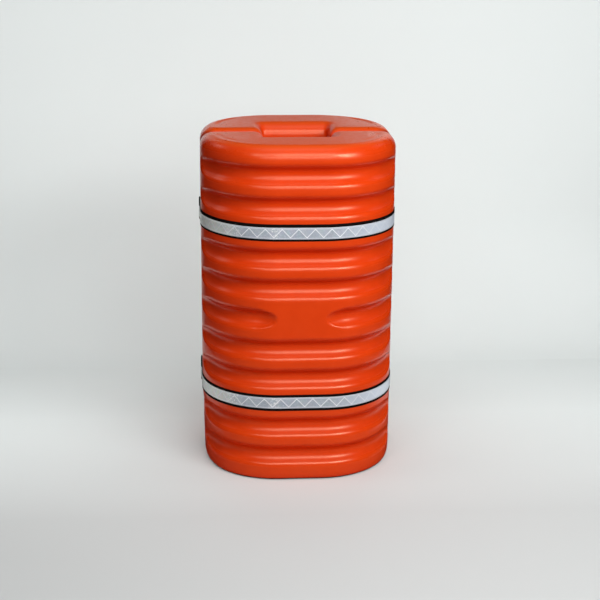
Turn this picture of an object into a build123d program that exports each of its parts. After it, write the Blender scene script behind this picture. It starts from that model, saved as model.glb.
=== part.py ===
from build123d import *
import os
from math import acos, asin, cos, degrees, radians, sin, sqrt

# Column protector: two hollow ribbed plastic halves that close round a column,
# held by two webbing straps with hook-and-loop closures and reflective tape.
# Millimetres. Origin on the floor at the centre of the column opening, +Z up,
# front half towards -Y. The halves part along the plane Y = 0.

# ---------------------------------------------------------------- dimensions
WIDTH = 609.6  # across the rib crests, both ways
HEIGHT = 1066.8
CORNER_R = 238.0  # plan radius of the outer corners, at the rib crests
WALL = 2.6  # wall of the moulding
SPLIT_GAP = 0.75  # from Y = 0 to each half's parting face
TOP_R = 42.0  # rounding of the outer top edge
SPLIT_R = 42.0  # rounding of the parting faces' top edges
RIM_R = 42.0  # rounding of the column opening's top edge
PARTING_R = 22.0  # plan rounding of the parting faces' upright edges
BASE_IN = 14.0  # rounding of the outer bottom edge, inwards
BASE_UP = 47.0  # the same, upwards

# ribs: grooves run round the front and the corners and run out at the sides
GROOVE_R = 26.0  # hollow bottom of a groove
LIP_R = 16.0  # rounded lips of a groove
GROOVE_DEPTH = 22.0
LEAVE_ANGLE = radians(60.5)  # where a groove leaves its corner on a tangent
PITCH = 96.6
MID_Z = HEIGHT / 2
STRAP_Z = (MID_Z + 2.817 * PITCH, MID_Z - 2.817 * PITCH)  # upper, lower
GROOVE_Z = (86.3, 182.9, 340.2, 436.8, 630.0, 726.6, 883.9, 980.5)
MID_GROOVE_Z = MID_Z  # interrupted by a flat pad on each face
PAD_HALF = 75.0  # half of the pad's width, between the pocket tips
RAMP_R = 193.0  # plan radius on which the middle groove runs out at the pad

# straps: they lie on the wide ribs
WEB_W = 50.8
WEB_T = 1.6
WEB_LIFT = 0.1  # from the crest face
TAPE_W = 38.1
TAPE_T = 0.4
LOOP_T = 0.8
HOOK_T = 0.7
TAIL_T = 1.5
TAIL_GAP = 0.3  # between the loop and hook patches
TAIL_W = 49.0
HINGE_END = 0.4  # strap ends at the right-hand hinge, from Y = 0
FRONT_END_Y = -12.0  # the front run ends here and goes on as the tail
REAR_END_Y = 12.0  # left-hand end of the rear run, under the tail
TAIL_Y = (-11.5, 96.0)
TAIL_RISE_Y = 8.0  # the tail has climbed onto the rear run here
LOOP_Y = (14.0, 96.0)
HOOK_Y = (20.0, 84.0)
LOOP_H = 47.0
HOOK_H = 40.0
THREAD_W = 0.9
THREAD_T = 0.3
TIP_R = 9.0  # rounded corners of the tail's tip

# column opening
MOUTH = 212.0
MOUTH_R = 14.0
BLOW_HOLE_R = 6.0

# ------------------------------------------------------------ derived values
HALF = WIDTH / 2
FLAT = HALF - CORNER_R  # centre of each corner, from the axes
SLOPE = acos(1 - GROOVE_DEPTH / (GROOVE_R + LIP_R))
GROOVE_HALF = (GROOVE_R + LIP_R) * sin(SLOPE)
OUT = 20.0  # how far cutters reach outside the crests

# where the middle groove leaves its corner to run out at the pad
_a = 2 * (PAD_HALF - FLAT) * (CORNER_R + RAMP_R)
_b = 2 * CORNER_R * (CORNER_R + RAMP_R)
_c = (
    (CORNER_R + RAMP_R) ** 2
    + (PAD_HALF - FLAT) ** 2
    + CORNER_R**2
    - (RAMP_R + GROOVE_DEPTH) ** 2
)
RAMP_ANGLE = asin(_a / sqrt(_a**2 + _b**2)) + acos(_c / sqrt(_a**2 + _b**2))

os.makedirs("parts", exist_ok=True)


# -------------------------------------------------------------- rib profiles
# Profiles are drawn with u outwards from the crest face and z up; inset t is
# the distance from the outer surface, so t = WALL gives the inner surface.
def groove_arcs(zc, t):
    c, s = cos(SLOPE), sin(SLOPE)
    lip, hollow = LIP_R - t, GROOVE_R + t
    low, high = zc - GROOVE_HALF, zc + GROOVE_HALF
    ch, sh = cos(SLOPE / 2), sin(SLOPE / 2)
    p1 = (-LIP_R + lip * c, low + lip * s)
    p2 = (-LIP_R + lip * c, high - lip * s)
    ThreePointArc((-t, low), (-LIP_R + lip * ch, low + lip * sh), p1)
    ThreePointArc(p1, (-GROOVE_DEPTH - t, zc), p2)
    ThreePointArc(p2, (-LIP_R + lip * ch, high - lip * sh), (-t, high))


def side_profile(t, grooves):
    """Everything outside the sides, from below the base to above the deck."""
    k = sqrt(0.5)
    z = BASE_UP
    EllipticalCenterArc(
        (-BASE_IN, BASE_UP), BASE_IN - t, BASE_UP - t, start_angle=270, arc_size=90
    )
    if grooves:
        for zc in GROOVE_Z:
            Line((-t, z), (-t, zc - GROOVE_HALF))
            groove_arcs(zc, t)
            z = zc + GROOVE_HALF
    Line((-t, z), (-t, HEIGHT - TOP_R))
    ThreePointArc(
        (-t, HEIGHT - TOP_R),
        (-TOP_R + (TOP_R - t) * k, HEIGHT - TOP_R + (TOP_R - t) * k),
        (-TOP_R, HEIGHT - t),
    )
    Polyline(
        (-TOP_R, HEIGHT - t),
        (-TOP_R, HEIGHT + 8),
        (OUT, HEIGHT + 8),
        (OUT, -8),
        (-BASE_IN, -8),
        (-BASE_IN, t),
    )


def one_groove_profile(zc, t):
    groove_arcs(zc, t)
    Polyline(
        (-t, zc + GROOVE_HALF),
        (OUT, zc + GROOVE_HALF),
        (OUT, zc - GROOVE_HALF),
        (-t, zc - GROOVE_HALF),
    )


# -------------------------------------------------------------------- halves
# One half is drawn twice: first its inner surface, WALL inside the material,
# then its outer surface. The inner body is taken out of the outer one.
mouldings = []
for t in (WALL, 0.0):
    with BuildPart() as moulding:
        # plan: half of a rounded square, with half of the column opening
        with BuildSketch(Plane.XY.offset(t)):
            RectangleRounded(2 * (HALF - t), 2 * (HALF - t), CORNER_R - t)
            RectangleRounded(
                MOUTH + 2 * t, MOUTH + 2 * t, MOUTH_R + t, mode=Mode.SUBTRACT
            )
            with Locations((0, HALF - SPLIT_GAP - t)):
                Rectangle(3 * WIDTH, 2 * HALF, mode=Mode.SUBTRACT)
        extrude(amount=HEIGHT - 2 * t)

        wall = MOUTH / 2 + t

        # rounded top edge of the column opening
        deck = moulding.faces().sort_by(Axis.Z)[-1]
        rim = deck.edges().filter_by(
            lambda e: abs(e.center().X) < wall + 0.5
            and -wall - 0.5 < e.center().Y < -SPLIT_GAP - t - 0.5
        )
        fillet(rim, RIM_R - t)

        # ribs on the front face and the two corners, plain sides
        front = Plane((FLAT, -HALF, 0), x_dir=(0, -1, 0), z_dir=(-1, 0, 0))
        with BuildSketch(front):
            with BuildLine():
                side_profile(t, True)
            make_face()
        extrude(amount=2 * FLAT, mode=Mode.SUBTRACT)
        for side in (1, -1):
            corner = Axis((side * FLAT, -FLAT, 0), (0, 0, side))
            start = Plane((side * FLAT, -HALF, 0), x_dir=(0, -1, 0), z_dir=(-1, 0, 0))
            with BuildSketch(start):
                with BuildLine():
                    side_profile(t, True)
                make_face()
            revolve(
                axis=corner, revolution_arc=degrees(LEAVE_ANGLE), mode=Mode.SUBTRACT
            )
            nx, ny = side * sin(LEAVE_ANGLE), -cos(LEAVE_ANGLE)
            leave = Plane(
                (side * FLAT + CORNER_R * nx, -FLAT + CORNER_R * ny, 0),
                x_dir=(nx, ny, 0),
                z_dir=(ny, -nx, 0),
            )
            with BuildSketch(leave):
                with BuildLine():
                    side_profile(t, False)
                make_face()
            revolve(
                axis=corner,
                revolution_arc=90 - degrees(LEAVE_ANGLE),
                mode=Mode.SUBTRACT,
            )
            flank = Plane(
                (side * HALF, -FLAT, 0), x_dir=(side, 0, 0), z_dir=(0, -side, 0)
            )
            with BuildSketch(flank):
                with BuildLine():
                    side_profile(t, False)
                make_face()
            extrude(amount=-side * (FLAT + 1), mode=Mode.SUBTRACT)

            # every groove goes straight on from its corner and runs out
            for zc in GROOVE_Z + (MID_GROOVE_Z,):
                with BuildSketch(leave):
                    with BuildLine():
                        one_groove_profile(zc, t)
                    make_face()
                extrude(amount=-side * 112, mode=Mode.SUBTRACT)

            # middle groove: round the corner, then a run-out towards the pad
            with BuildSketch(leave):
                with BuildLine():
                    one_groove_profile(MID_GROOVE_Z, t)
                make_face()
            revolve(
                axis=Axis((side * FLAT, -FLAT, 0), (0, 0, -side)),
                revolution_arc=degrees(LEAVE_ANGLE - RAMP_ANGLE),
                mode=Mode.SUBTRACT,
            )
            nx, ny = side * sin(RAMP_ANGLE), -cos(RAMP_ANGLE)
            ramp = Plane(
                (side * FLAT + CORNER_R * nx, -FLAT + CORNER_R * ny, 0),
                x_dir=(nx, ny, 0),
                z_dir=(ny, -nx, 0),
            )
            with BuildSketch(ramp):
                with BuildLine():
                    one_groove_profile(MID_GROOVE_Z, t)
                make_face()
            revolve(
                axis=Axis(
                    (
                        side * FLAT + (CORNER_R + RAMP_R) * nx,
                        -FLAT + (CORNER_R + RAMP_R) * ny,
                        0,
                    ),
                    (0, 0, side),
                ),
                revolution_arc=26,
                mode=Mode.SUBTRACT,
            )

        # rounded top edges of the parting faces
        y0, r = -SPLIT_GAP, SPLIT_R
        with BuildSketch(Plane.YZ.offset(-WIDTH)):
            with BuildLine():
                ThreePointArc(
                    (y0 - t, HEIGHT - r),
                    (
                        y0 - r + (r - t) * sqrt(0.5),
                        HEIGHT - r + (r - t) * sqrt(0.5),
                    ),
                    (y0 - r, HEIGHT - t),
                )
                Polyline(
                    (y0 - r, HEIGHT - t),
                    (y0 - r, HEIGHT + 8),
                    (y0 + 8, HEIGHT + 8),
                    (y0 + 8, HEIGHT - r),
                    (y0 - t, HEIGHT - r),
                )
            make_face()
        extrude(amount=2 * WIDTH, mode=Mode.SUBTRACT)

        # rounded upright edges of the parting faces, outside and at the opening
        r, yc = PARTING_R - t, -SPLIT_GAP - PARTING_R
        for side in (1, -1):
            for edge, inwards in ((HALF, -1), (MOUTH / 2, 1)):
                xc = edge + inwards * PARTING_R
                with BuildSketch(Plane.XY.offset(-8)):
                    with BuildLine():
                        ThreePointArc(
                            (side * xc, yc + r),
                            (
                                side * (xc - inwards * r * sqrt(0.5)),
                                yc + r * sqrt(0.5),
                            ),
                            (side * (xc - inwards * r), yc),
                        )
                        Polyline(
                            (side * (xc - inwards * r), yc),
                            (side * (edge - inwards * 8), yc),
                            (side * (edge - inwards * 8), 8),
                            (side * xc, 8),
                            (side * xc, yc + r),
                        )
                    make_face()
                extrude(amount=HEIGHT + 16, mode=Mode.SUBTRACT)
    mouldings.append(moulding.part)
cavity, solid_half = mouldings

with BuildPart() as front_shell:
    add(solid_half)
    add(cavity, mode=Mode.SUBTRACT)
    with Locations((200, -190, 0)):
        Cylinder(BLOW_HOLE_R, 4 * WALL, mode=Mode.SUBTRACT)
front_shell.part.label = "front_shell"
export_step(front_shell.part, "parts/front_shell.step")

with BuildPart() as rear_shell:
    add(front_shell.part, rotation=(0, 0, 180))
rear_shell.part.label = "rear_shell"
export_step(rear_shell.part, "parts/rear_shell.step")


# -------------------------------------------------------------------- straps
# Strap layers are measured outwards from the crest face.
WEB_IN = WEB_LIFT
WEB_OUT = WEB_IN + WEB_T
TAPE_OUT = WEB_OUT + TAPE_T
LOOP_OUT = WEB_OUT + LOOP_T
HOOK_IN = LOOP_OUT + TAIL_GAP
TAIL_IN = HOOK_IN + HOOK_T
TAIL_OUT = TAIL_IN + TAIL_T
LEFT = -HALF


def band(inner, outer):
    """Plan of a band that follows the body, between two distances from the crests."""
    RectangleRounded(2 * (HALF + outer), 2 * (HALF + outer), CORNER_R + outer)
    RectangleRounded(
        2 * (HALF + inner), 2 * (HALF + inner), CORNER_R + inner, mode=Mode.SUBTRACT
    )


def keep_half(side, right_end, left_end):
    """Leave the part of a band on one side of Y = 0, with its ends trimmed."""
    with Locations((WIDTH / 2, side * (right_end - WIDTH))):
        Rectangle(WIDTH, 2 * WIDTH, mode=Mode.SUBTRACT)
    with Locations((-WIDTH / 2, side * (left_end - WIDTH))):
        Rectangle(WIDTH, 2 * WIDTH, mode=Mode.SUBTRACT)


def left_strip(inner, outer, y0, y1):
    """Plan of a layer on the left-hand side of the rear half, between two Y."""
    band(inner, outer)
    with Locations((WIDTH / 2, 0)):
        Rectangle(WIDTH, 2 * WIDTH, mode=Mode.SUBTRACT)
    with Locations((-WIDTH / 2, y0 - WIDTH), (-WIDTH / 2, y1 + WIDTH)):
        Rectangle(1.5 * WIDTH, 2 * WIDTH, mode=Mode.SUBTRACT)


for level, zs in zip(("upper", "lower"), STRAP_Z):
    web_plane = Plane.XY.offset(zs - WEB_W / 2)
    tape_plane = Plane.XY.offset(zs - TAPE_W / 2)
    loop_plane = Plane.XY.offset(zs - LOOP_H / 2)
    hook_plane = Plane.XY.offset(zs - HOOK_H / 2)
    tail_plane = Plane.XY.offset(zs - TAIL_W / 2)

    with BuildPart() as front_strap:
        with BuildSketch(web_plane):
            band(WEB_IN, WEB_OUT)
            keep_half(-1, HINGE_END, -FRONT_END_Y)
        extrude(amount=WEB_W)
    front_strap.part.label = f"{level}_front_strap"
    export_step(front_strap.part, f"parts/{level}_front_strap.step")

    with BuildPart() as front_tape:
        with BuildSketch(tape_plane):
            band(WEB_OUT, TAPE_OUT)
            keep_half(-1, HINGE_END, -FRONT_END_Y + 2)
        extrude(amount=TAPE_W)
    front_tape.part.label = f"{level}_front_tape"
    export_step(front_tape.part, f"parts/{level}_front_tape.step")

    with BuildPart() as rear_strap:
        with BuildSketch(web_plane):
            band(WEB_IN, WEB_OUT)
            keep_half(1, HINGE_END, REAR_END_Y)
        extrude(amount=WEB_W)
    rear_strap.part.label = f"{level}_rear_strap"
    export_step(rear_strap.part, f"parts/{level}_rear_strap.step")

    with BuildPart() as rear_tape:
        with BuildSketch(tape_plane):
            band(WEB_OUT, TAPE_OUT)
            keep_half(1, HINGE_END, LOOP_Y[1] + 4)
        extrude(amount=TAPE_W)
    rear_tape.part.label = f"{level}_rear_tape"
    export_step(rear_tape.part, f"parts/{level}_rear_tape.step")

    # closure on the left-hand side: loop patch sewn on the rear run
    with BuildPart() as loop_patch:
        with BuildSketch(loop_plane):
            left_strip(WEB_OUT, LOOP_OUT, LOOP_Y[0], LOOP_Y[1])
        extrude(amount=LOOP_H)
    loop_patch.part.label = f"{level}_loop_patch"
    export_step(loop_patch.part, f"parts/{level}_loop_patch.step")

    with BuildPart() as loop_stitching:
        rise = LOOP_H / 2 - 1.7
        for z in (zs - rise, zs + rise):
            with BuildSketch(Plane.XY.offset(z - THREAD_W / 2)):
                left_strip(
                    LOOP_OUT, LOOP_OUT + THREAD_T, LOOP_Y[0] + 1.5, LOOP_Y[1] - 1.5
                )
            extrude(amount=THREAD_W)
        for y in (LOOP_Y[0] + 1.5, LOOP_Y[1] - 1.5 - THREAD_W):
            with BuildSketch(Plane.XY.offset(zs - rise)):
                left_strip(LOOP_OUT, LOOP_OUT + THREAD_T, y, y + THREAD_W)
            extrude(amount=2 * rise)
    loop_stitching.part.label = f"{level}_loop_stitching"
    export_step(loop_stitching.part, f"parts/{level}_loop_stitching.step")

    # tail: the front run goes on, climbs onto the rear run and has a rounded tip
    with BuildPart() as tail:
        with BuildSketch(tail_plane):
            left_strip(TAIL_IN, TAIL_OUT, TAIL_RISE_Y, TAIL_Y[1])
            with BuildLine():
                Polyline(
                    (LEFT - WEB_IN, TAIL_Y[0]),
                    (LEFT - WEB_OUT, TAIL_Y[0]),
                    (LEFT - TAIL_OUT, TAIL_RISE_Y),
                    (LEFT - TAIL_OUT, TAIL_RISE_Y + 2),
                    (LEFT - TAIL_IN, TAIL_RISE_Y + 2),
                    (LEFT - TAIL_IN, TAIL_RISE_Y),
                    close=True,
                )
            make_face()
        extrude(amount=TAIL_W)
        fillet(tail.edges().filter_by(Axis.X).group_by(Axis.Y)[-1], TIP_R)
    tail.part.label = f"{level}_tail"
    export_step(tail.part, f"parts/{level}_tail.step")

    with BuildPart() as tail_tape:
        with BuildSketch(tape_plane):
            left_strip(TAIL_OUT, TAIL_OUT + TAPE_T, TAIL_RISE_Y + 2, HOOK_Y[1])
        extrude(amount=TAPE_W)
    tail_tape.part.label = f"{level}_tail_tape"
    export_step(tail_tape.part, f"parts/{level}_tail_tape.step")

    with BuildPart() as hook_patch:
        with BuildSketch(hook_plane):
            left_strip(HOOK_IN, TAIL_IN, HOOK_Y[0], HOOK_Y[1])
        extrude(amount=HOOK_H)
    hook_patch.part.label = f"{level}_hook_patch"
    export_step(hook_patch.part, f"parts/{level}_hook_patch.step")

    # thread that holds the hook patch, in the bare borders beside the tape
    with BuildPart() as hook_stitching:
        rise = TAIL_W / 2 - 2.8
        for z in (zs - rise, zs + rise):
            with BuildSketch(Plane.XY.offset(z - THREAD_W / 2)):
                left_strip(
                    TAIL_OUT, TAIL_OUT + THREAD_T, TAIL_RISE_Y + 4, HOOK_Y[1] + 4
                )
            extrude(amount=THREAD_W)
        with BuildSketch(Plane.XY.offset(zs - rise)):
            left_strip(
                TAIL_OUT,
                TAIL_OUT + THREAD_T,
                HOOK_Y[1] + 4 - THREAD_W,
                HOOK_Y[1] + 4,
            )
        extrude(amount=2 * rise)
    hook_stitching.part.label = f"{level}_hook_stitching"
    export_step(hook_stitching.part, f"parts/{level}_hook_stitching.step")
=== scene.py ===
import bpy
import numpy as np
from math import acos, asin, atan2, ceil, cos, degrees, pi, radians, sin, sqrt
from mathutils import Matrix, Vector


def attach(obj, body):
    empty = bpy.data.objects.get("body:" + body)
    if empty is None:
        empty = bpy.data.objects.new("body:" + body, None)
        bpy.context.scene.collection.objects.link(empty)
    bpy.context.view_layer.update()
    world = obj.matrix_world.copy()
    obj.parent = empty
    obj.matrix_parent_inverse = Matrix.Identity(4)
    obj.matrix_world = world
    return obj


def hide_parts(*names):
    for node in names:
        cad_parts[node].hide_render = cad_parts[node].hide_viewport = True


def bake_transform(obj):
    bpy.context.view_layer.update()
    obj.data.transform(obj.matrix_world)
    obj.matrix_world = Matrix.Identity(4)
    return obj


# Column protector: two ribbed orange halves, two black webbing straps with
# silver prismatic tape, hook-and-loop tails on the left-hand side.
# Lengths below are millimetres in the object's own frame; meshes are metres.

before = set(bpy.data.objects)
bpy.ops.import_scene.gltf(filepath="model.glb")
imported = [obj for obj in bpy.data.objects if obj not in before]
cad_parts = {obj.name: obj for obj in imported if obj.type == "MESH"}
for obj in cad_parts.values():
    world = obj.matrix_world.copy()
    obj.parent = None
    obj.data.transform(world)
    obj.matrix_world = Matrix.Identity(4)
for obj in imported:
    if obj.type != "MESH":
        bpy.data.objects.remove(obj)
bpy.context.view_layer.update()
rng = np.random.default_rng(11)

# ---------------------------------------------------------------- dimensions
MM = 0.001
W2, H = 304.8, 1066.8
RC = 238.0
FL = W2 - RC
GD, GR, LR = 22.0, 28.0, 22.0
SL = acos(1 - GD / (GR + LR))
GH = (GR + LR) * sin(SL)
GROOVES = (86.0, 181.3, 339.9, 435.2, 629.7, 725.0, 883.6, 978.9)
MIDZ = H / 2
STRAPS = {"upper": MIDZ + 1.0 + 2.817 * 96.6, "lower": MIDZ + 1.0 - 2.817 * 96.6}
PAD_HALF, RAMP_R = 75.0, 193.0
TOP_R, RIM_R = 42.0, 42.0
SPLIT_R = {False: 50.0, True: 36.0}  # front and rear half: the front one's deck edge is rubbed rounder
RIM_SIDE = 30.0  # the rim is tighter on the opening's left and right walls
PARTING_R, MOUTH_EDGE_R = 22.0, 15.0  # plan rounding of the parting faces' upright edges, outside and at the opening
BASE_IN, BASE_UP = 10.5, 47.0  # rounding of the outer bottom edge, inwards and upwards
FOOT_IN, FOOT_UP = 5.0, 3.4  # the ring it stands on is set in from that edge
LEAVE = radians(60.5)  # where the grooves leave the corners on a tangent
GAP = 0.1
MOUTH, MOUTH_R = 106.0, 14.0  # half of the column opening, and its corners

_a = 2 * (PAD_HALF - FL) * (RC + RAMP_R)
_b = 2 * RC * (RC + RAMP_R)
_c = (RC + RAMP_R) ** 2 + (PAD_HALF - FL) ** 2 + RC**2 - (RAMP_R + GD) ** 2
RAMP_ANGLE = asin(_a / sqrt(_a**2 + _b**2)) + acos(_c / sqrt(_a**2 + _b**2))


# ------------------------------------------------------------------- helpers
def smooth(e0, e1, x):
    t = np.clip((np.asarray(x, float) - e0) / (e1 - e0), 0, 1)
    return t * t * (3 - 2 * t)


def groove_depth(z, zc):
    a = np.abs(np.asarray(z, float) - zc)
    hollow = GD - (GR - np.sqrt(np.maximum(GR**2 - np.minimum(a, GR) ** 2, 0)))
    b = np.clip(GH - a, 0, LR)
    lip = LR - np.sqrt(LR**2 - b**2)
    return np.where(a <= GR * sin(SL), hollow, lip)


def smooth_max0(x, k):
    """max(0, x) with its corner rounded over k."""
    k = np.maximum(k, 1e-6)
    return np.where(x > k, x, np.where(x < -k, 0.0, (x + k) ** 2 / (4 * k)))


def mesh_object(name, verts, faces, uv=None, smooth_faces=True):
    me = bpy.data.meshes.new(name)
    me.from_pydata((np.asarray(verts, float) * MM).tolist(), [], [list(map(int, f)) for f in faces])
    me.validate()
    if uv is not None:
        layer = me.uv_layers.new(name="strap")
        idx = np.empty(len(me.loops), np.int32)
        me.loops.foreach_get("vertex_index", idx)
        layer.data.foreach_set("uv", (np.asarray(uv, float) * MM)[idx].astype(np.float32).ravel())
    if smooth_faces:
        me.polygons.foreach_set("use_smooth", [True] * len(me.polygons))
    me.update()
    o = bpy.data.objects.new(name, me)
    bpy.context.scene.collection.objects.link(o)
    return o


def outward(o):
    import bmesh

    bm = bmesh.new()
    bm.from_mesh(o.data)
    bmesh.ops.recalc_face_normals(bm, faces=bm.faces)
    bm.to_mesh(o.data)
    bm.free()
    o.data.update()


# -------------------------------------------------------------------- shells
N_SIDE = 20
COARSE = np.linspace(radians(90), radians(34), 30)[:-1]
FINE = np.linspace(radians(34), 0, 44)[:-1]
CORNER = np.concatenate([COARSE, FINE])  # from the side towards the front
N_FRONT = 42
N_FIL = 8
K_SPLIT = 36


def shell_levels():
    z = [BASE_UP * (1 - cos(radians(a))) for a in (0, 5, 10, 15, 20, 26, 32, 40, 48, 57, 66, 78, 90)]
    z += [FOOT_UP - 0.3, FOOT_UP, 4.0, 33, 37, 41]
    for zc in list(GROOVES) + [MIDZ]:
        z += list(np.linspace(zc - GH, zc + GH, 23))
    z += list(H - TOP_R + TOP_R * np.sin(np.radians(np.linspace(0, 90, 21))))
    z = np.unique(np.round(z, 4))
    keep = [z[0]]
    for v in z[1:]:
        if v - keep[-1] > 0.24 or v > H - 0.5:
            keep.append(v)
        # long bare stretches of rib face get a level of their own
    out = [keep[0]]
    for v in keep[1:]:
        gap = v - out[-1]
        n = int(gap // 9)
        out += [out[-1] + gap * (k + 1) / (n + 1) for k in range(n)]
        out.append(v)
    return np.array(out)


def edge_offset(z, r_top, base_in, base_up):
    o = np.zeros_like(np.asarray(z, float))
    t = np.clip(z - (H - r_top), 0, r_top)
    o = np.where(z > H - r_top, r_top - np.sqrt(np.maximum(r_top**2 - t**2, 0)), o)
    b = np.clip((base_up - np.maximum(z, FOOT_UP)) / (base_up - FOOT_UP), 0, 1)
    under = base_in + FOOT_IN * smooth(FOOT_UP, FOOT_UP - 0.3, z)
    return np.where(z < FOOT_UP, under, np.where(z < base_up, base_in * (1 - np.sqrt(1 - b**2)), o))


# slow unevenness of a blown wall: a few long, shallow waves
WAVES = [
    (rng.uniform(1 / 420, 1 / 150), rng.uniform(1 / 460, 1 / 170), rng.uniform(0, 2 * pi), rng.uniform(-1, 1))
    for _ in range(9)
]


def unevenness(s, z, seed=0.0):
    w = 0
    for a, b, p, sg in WAVES:
        w = w + np.sin(2 * pi * (a * s + sg * b * z) + p + seed * 1.7)
    return w / len(WAVES)


def outer_base(y_start):
    """Crest-level points, outward normals and path length, right side to left side."""
    pts, nrm = [], []
    for a in np.linspace(0, 1, N_SIDE + 1)[:-1]:
        pts.append((W2, y_start + (-FL - y_start) * a))
        nrm.append((1.0, 0.0))
    for t in CORNER:
        pts.append((FL + RC * sin(t), -FL - RC * cos(t)))
        nrm.append((sin(t), -cos(t)))
    for a in np.linspace(0, 1, N_FRONT + 1):
        pts.append((FL - 2 * FL * a, -W2))
        nrm.append((0.0, -1.0))
    n = len(pts)
    half = n - (N_FRONT + 1)
    for i in range(half - 1, -1, -1):
        pts.append((-pts[i][0], pts[i][1]))
        nrm.append((-nrm[i][0], nrm[i][1]))
    p = np.array(pts)
    return p, np.array(nrm)


INNER_SIDE = np.linspace(0, 1, N_SIDE + 1)[:-1]


def inner_base(y_start):
    c = MOUTH - MOUTH_R
    pts, nrm = [], []
    for a in INNER_SIDE:
        pts.append((MOUTH, y_start + (-c - y_start) * a))
        nrm.append((-1.0, 0.0))
    for t in CORNER:
        pts.append((c + MOUTH_R * sin(t), -c - MOUTH_R * cos(t)))
        nrm.append((-sin(t), cos(t)))
    for k in range(N_FRONT + 1):
        pts.append((c * cos(pi * k / N_FRONT), -MOUTH))
        nrm.append((0.0, 1.0))
    half = len(pts) - (N_FRONT + 1)
    for i in range(half - 1, -1, -1):
        pts.append((-pts[i][0], pts[i][1]))
        nrm.append((-nrm[i][0], nrm[i][1]))
    return np.array(pts), np.array(nrm)


def pocket_shift(p):
    """How far the middle groove has run out of the face at crest points p."""
    out = np.full(len(p), 1e3)
    for side in (1, -1):
        cx = side * (FL + (RC + RAMP_R) * sin(RAMP_ANGLE))
        cy = -FL - (RC + RAMP_R) * cos(RAMP_ANGLE)
        d = np.hypot(p[:, 0] - cx, p[:, 1] - cy) - RAMP_R
        ang = np.arctan2(side * p[:, 0] - FL, -p[:, 1] - FL)
        full = (side * p[:, 0] > FL) & (ang >= RAMP_ANGLE)
        out = np.minimum(out, np.where(full, 0.0, np.where(side * p[:, 0] > 0, np.maximum(d, 0), 1e3)))
    return out


def tangent_shift(p):
    """How far the grooves have run out of the sides at crest points p, and the slant of their floor there."""
    rel = np.c_[np.abs(p[:, 0]) - FL, -p[:, 1] - FL]
    ang = np.arctan2(np.maximum(rel[:, 0], 0), np.maximum(rel[:, 1], 1e-9))
    ang = np.where(-p[:, 1] < FL, pi / 2, ang)
    along = rel[:, 0] * sin(LEAVE) + rel[:, 1] * cos(LEAVE)
    past = ang > LEAVE
    return np.where(past, RC - along, 0.0), np.where(past, np.cos(np.clip(ang - LEAVE, 0, 0.6)), 1.0)


def deck_step(x, y):
    """Shallow ledge along each outer corner of the deck, on an arc about the corner's centre."""
    qx, qy = np.abs(x) - FL, np.abs(y) - FL
    r = np.hypot(np.maximum(qx, 0), np.maximum(qy, 0))
    ang = np.degrees(np.arctan2(np.maximum(qy, 0), np.maximum(qx, 1e-6)))
    reach = smooth(3, 10, ang) * (1 - smooth(40, 54, ang))
    return smooth(171.5, 177.5, r) * reach


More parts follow.
